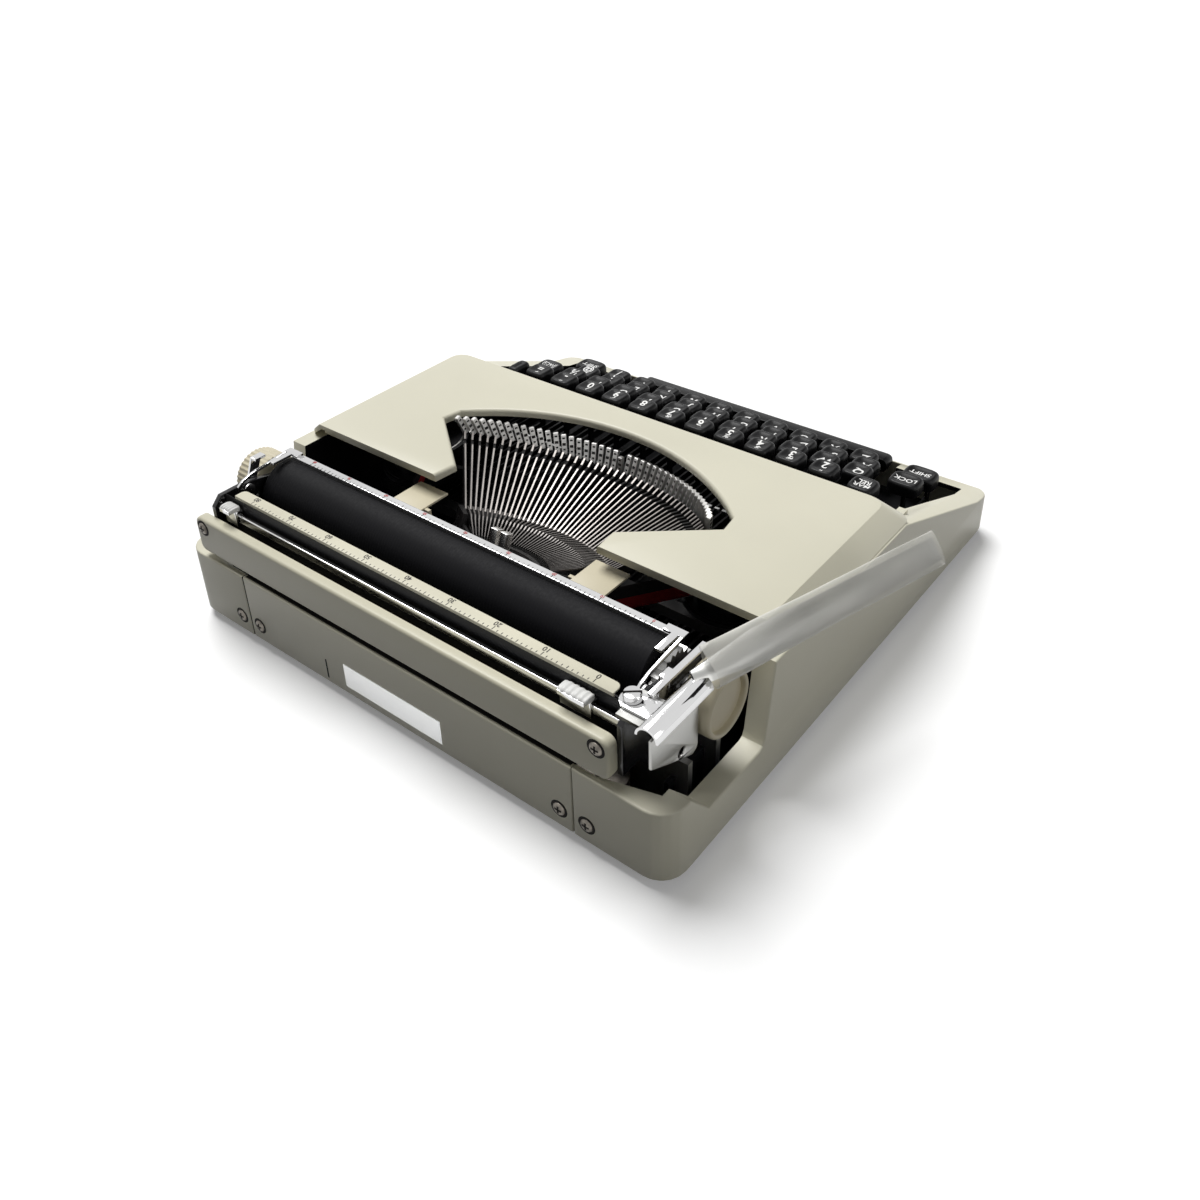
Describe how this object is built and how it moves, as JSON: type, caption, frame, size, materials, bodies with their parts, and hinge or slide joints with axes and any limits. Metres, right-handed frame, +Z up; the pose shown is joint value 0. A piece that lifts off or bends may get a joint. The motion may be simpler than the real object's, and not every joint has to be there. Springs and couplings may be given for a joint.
{
  "type": "manual portable typewriter",
  "caption": "Flat cream portable typewriter with hinged ribbon cover, open type basket, sliding carriage and a long return lever in a clear film sleeve.",
  "frame": {"origin": "centre of the whole box at the level of the feet", "axes": "X to the right of the typist along the platen, Y from the keyboard to the rear, Z up"},
  "size_m": [0.326, 0.3036, 0.0935],
  "materials": {
    "case_paint": "satin",
    "black_paint": "satin",
    "rubber": "matte",
    "platen_rubber": "matte",
    "steel": "brushed",
    "nickel": "polished",
    "felt": "matte",
    "ribbon_cloth": "matte",
    "cream_plastic": "satin",
    "black_plastic": "gloss",
    "film": "gloss"
  },
  "bodies": {
    "case": {"lower_case": "case_paint", "rear_panel": "case_paint", "base_plate": "black_paint", "feet": "rubber", "case_screws": "steel", "frame_left": "black_paint", "frame_right": "black_paint", "front_rail": "steel", "rear_rail": "steel", "segment": "steel", "typebars": "nickel", "type_guide": "nickel", "type_rest": "felt", "fulcrum_shaft": "steel", "lever_comb": "steel", "spool_cups": "black_paint", "ribbon_guides": "cream_plastic", "ribbon": "ribbon_cloth", "hinge_pins": "steel"},
    "cover": {"ribbon_cover": "case_paint"},
    "carriage": {"carriage_frame": "black_paint", "left_end_plate": "black_paint", "right_end_plate": "black_paint", "carriage_cover": "case_paint", "carriage_screws": "steel", "paper_table": "case_paint", "margin_rail": "steel", "paper_pan": "black_paint", "lever_bracket": "nickel"},
    "platen": {"platen": "platen_rubber", "platen_shaft": "steel", "left_knob": "cream_plastic", "right_knob": "cream_plastic", "line_ratchet": "steel"},
    "feed": {"feed_rollers": "rubber"},
    "bail": {"paper_bail": "steel", "bail_arms": "nickel"},
    "lever": {"return_lever": "nickel", "lever_sleeve": "film"},
    "selector": {"line_selector": "nickel"},
    "release": {"paper_release": "nickel"},
    "stop_left": {"margin_stop_left": "nickel"},
    "stop_right": {"margin_stop_right": "nickel"},
    "spool_l": {"spool_left": "black_plastic"},
    "spool_r": {"spool_right": "black_plastic"},
    "space": {"space_bar": "black_plastic"},
    "number_row": {"keys_number": "black_plastic"},
    "top_row": {"keys_top": "black_plastic"},
    "home_row": {"keys_home": "black_plastic"},
    "bottom_row": {"keys_bottom": "black_plastic"},
    "centre_key": {"key_centre": "black_plastic"},
    "centre_typebar": {"typebar_centre": "nickel"},
    "shift": {"shift_keys": "black_plastic"},
    "lock": {"shift_lock": "black_plastic"},
    "margin_rel": {"margin_release": "black_plastic"},
    "backspace": {"back_space": "black_plastic"},
    "tabulator": {"tab_key": "black_plastic"},
    "drum": {"mainspring_drum": "steel"}
  },
  "joints": [
    {"name": "cover_hinge", "type": "hinge", "parent": "case", "child": "cover", "pos_m": [0.01699, -0.051, 0.055], "axis": [1, 0, 0], "range_deg": [0, 80]},
    {"name": "carriage_slide", "type": "slide", "parent": "case", "child": "carriage", "axis": [-1, 0, 0], "range_m": [-0.1, 0.1]},
    {"name": "platen_turn", "type": "hinge", "parent": "carriage", "child": "platen", "pos_m": [0.01699, 0.10475, 0.0595], "axis": [1, 0, 0], "continuous": true},
    {"name": "feed_turn", "type": "hinge", "parent": "carriage", "child": "feed", "pos_m": [0.01699, 0.09275, 0.0419], "axis": [-1, 0, 0], "continuous": true},
    {"name": "bail_lift", "type": "hinge", "parent": "carriage", "child": "bail", "pos_m": [0.01699, 0.126, 0.069], "axis": [-1, 0, 0], "range_deg": [0, 60]},
    {"name": "lever_return", "type": "hinge", "parent": "carriage", "child": "lever", "pos_m": [-0.10301, 0.1374, 0.0743], "axis": [0, 0, 1], "range_deg": [0, 10], "stiffness_Nm_per_rad": 0.2},
    {"name": "selector_turn", "type": "hinge", "parent": "carriage", "child": "selector", "pos_m": [-0.10491, 0.122, 0.064], "axis": [1, 0, 0], "range_deg": [0, 8]},
    {"name": "release_turn", "type": "hinge", "parent": "carriage", "child": "release", "pos_m": [0.14139, 0.122, 0.064], "axis": [-1, 0, 0], "range_deg": [0, 25]},
    {"name": "stop_left_slide", "type": "slide", "parent": "carriage", "child": "stop_left", "axis": [1, 0, 0], "range_m": [0, 0.08]},
    {"name": "stop_right_slide", "type": "slide", "parent": "carriage", "child": "stop_right", "axis": [1, 0, 0], "range_m": [-0.08, 0]},
    {"name": "spool_left_turn", "type": "hinge", "parent": "case", "child": "spool_l", "pos_m": [-0.08001, 0.031, 0.047], "axis": [0, 0, 1], "continuous": true},
    {"name": "spool_right_turn", "type": "hinge", "parent": "case", "child": "spool_r", "pos_m": [0.11399, 0.031, 0.047], "axis": [0, 0, 1], "continuous": true},
    {"name": "space_press", "type": "hinge", "parent": "case", "child": "space", "pos_m": [0.01699, 0.06075, 0.0195], "axis": [1, 0, 0], "range_deg": [0, 2.6], "stiffness_Nm_per_rad": 1.2},
    {"name": "number_press", "type": "hinge", "parent": "case", "child": "number_row", "pos_m": [0.01699, 0.06075, 0.0195], "axis": [1, 0, 0], "range_deg": [0, 4.2], "stiffness_Nm_per_rad": 1.2},
    {"name": "top_press", "type": "hinge", "parent": "case", "child": "top_row", "pos_m": [0.01699, 0.06075, 0.0195], "axis": [1, 0, 0], "range_deg": [0, 3.6], "stiffness_Nm_per_rad": 1.2},
    {"name": "home_press", "type": "hinge", "parent": "case", "child": "home_row", "pos_m": [0.01699, 0.06075, 0.0195], "axis": [1, 0, 0], "range_deg": [0, 3.2], "stiffness_Nm_per_rad": 1.2},
    {"name": "bottom_press", "type": "hinge", "parent": "case", "child": "bottom_row", "pos_m": [0.01699, 0.06075, 0.0195], "axis": [1, 0, 0], "range_deg": [0, 2.9], "stiffness_Nm_per_rad": 1.2},
    {"name": "centre_press", "type": "hinge", "parent": "case", "child": "centre_key", "pos_m": [0.01699, 0.06075, 0.0195], "axis": [1, 0, 0], "range_deg": [0, 3.2], "stiffness_Nm_per_rad": 1.2},
    {"name": "centre_strike", "type": "hinge", "parent": "case", "child": "centre_typebar", "pos_m": [0.01699, 0.03878, 0.03787], "axis": [-1, 0, 0], "range_deg": [0, 126]},
    {"name": "shift_press", "type": "hinge", "parent": "case", "child": "shift", "pos_m": [0.01699, 0.06075, 0.0195], "axis": [1, 0, 0], "range_deg": [0, 2.9], "stiffness_Nm_per_rad": 1.2},
    {"name": "lock_press", "type": "hinge", "parent": "case", "child": "lock", "pos_m": [0.01699, 0.06075, 0.0195], "axis": [1, 0, 0], "range_deg": [0, 3.2], "stiffness_Nm_per_rad": 1.2},
    {"name": "margin_press", "type": "hinge", "parent": "case", "child": "margin_rel", "pos_m": [0.01699, 0.06075, 0.0195], "axis": [1, 0, 0], "range_deg": [0, 4.2], "stiffness_Nm_per_rad": 1.2},
    {"name": "backspace_press", "type": "hinge", "parent": "case", "child": "backspace", "pos_m": [0.01699, 0.06075, 0.0195], "axis": [1, 0, 0], "range_deg": [0, 3.6], "stiffness_Nm_per_rad": 1.2},
    {"name": "tab_press", "type": "hinge", "parent": "case", "child": "tabulator", "pos_m": [0.01699, 0.06075, 0.0195], "axis": [1, 0, 0], "range_deg": [0, 4.2], "stiffness_Nm_per_rad": 1.2},
    {"name": "drum_turn", "type": "hinge", "parent": "case", "child": "drum", "pos_m": [-0.08301, 0.13175, 0.015], "axis": [0, 0, 1], "continuous": true}
  ],
  "couplings": [
    {"joint": "feed_turn", "follows": "platen_turn", "ratio": 3.6667},
    {"joint": "spool_right_turn", "follows": "spool_left_turn", "ratio": 1},
    {"joint": "centre_strike", "follows": "centre_press", "ratio": 39.375},
    {"joint": "drum_turn", "follows": "carriage_slide", "rad_per_m": 90.909}
  ]
}
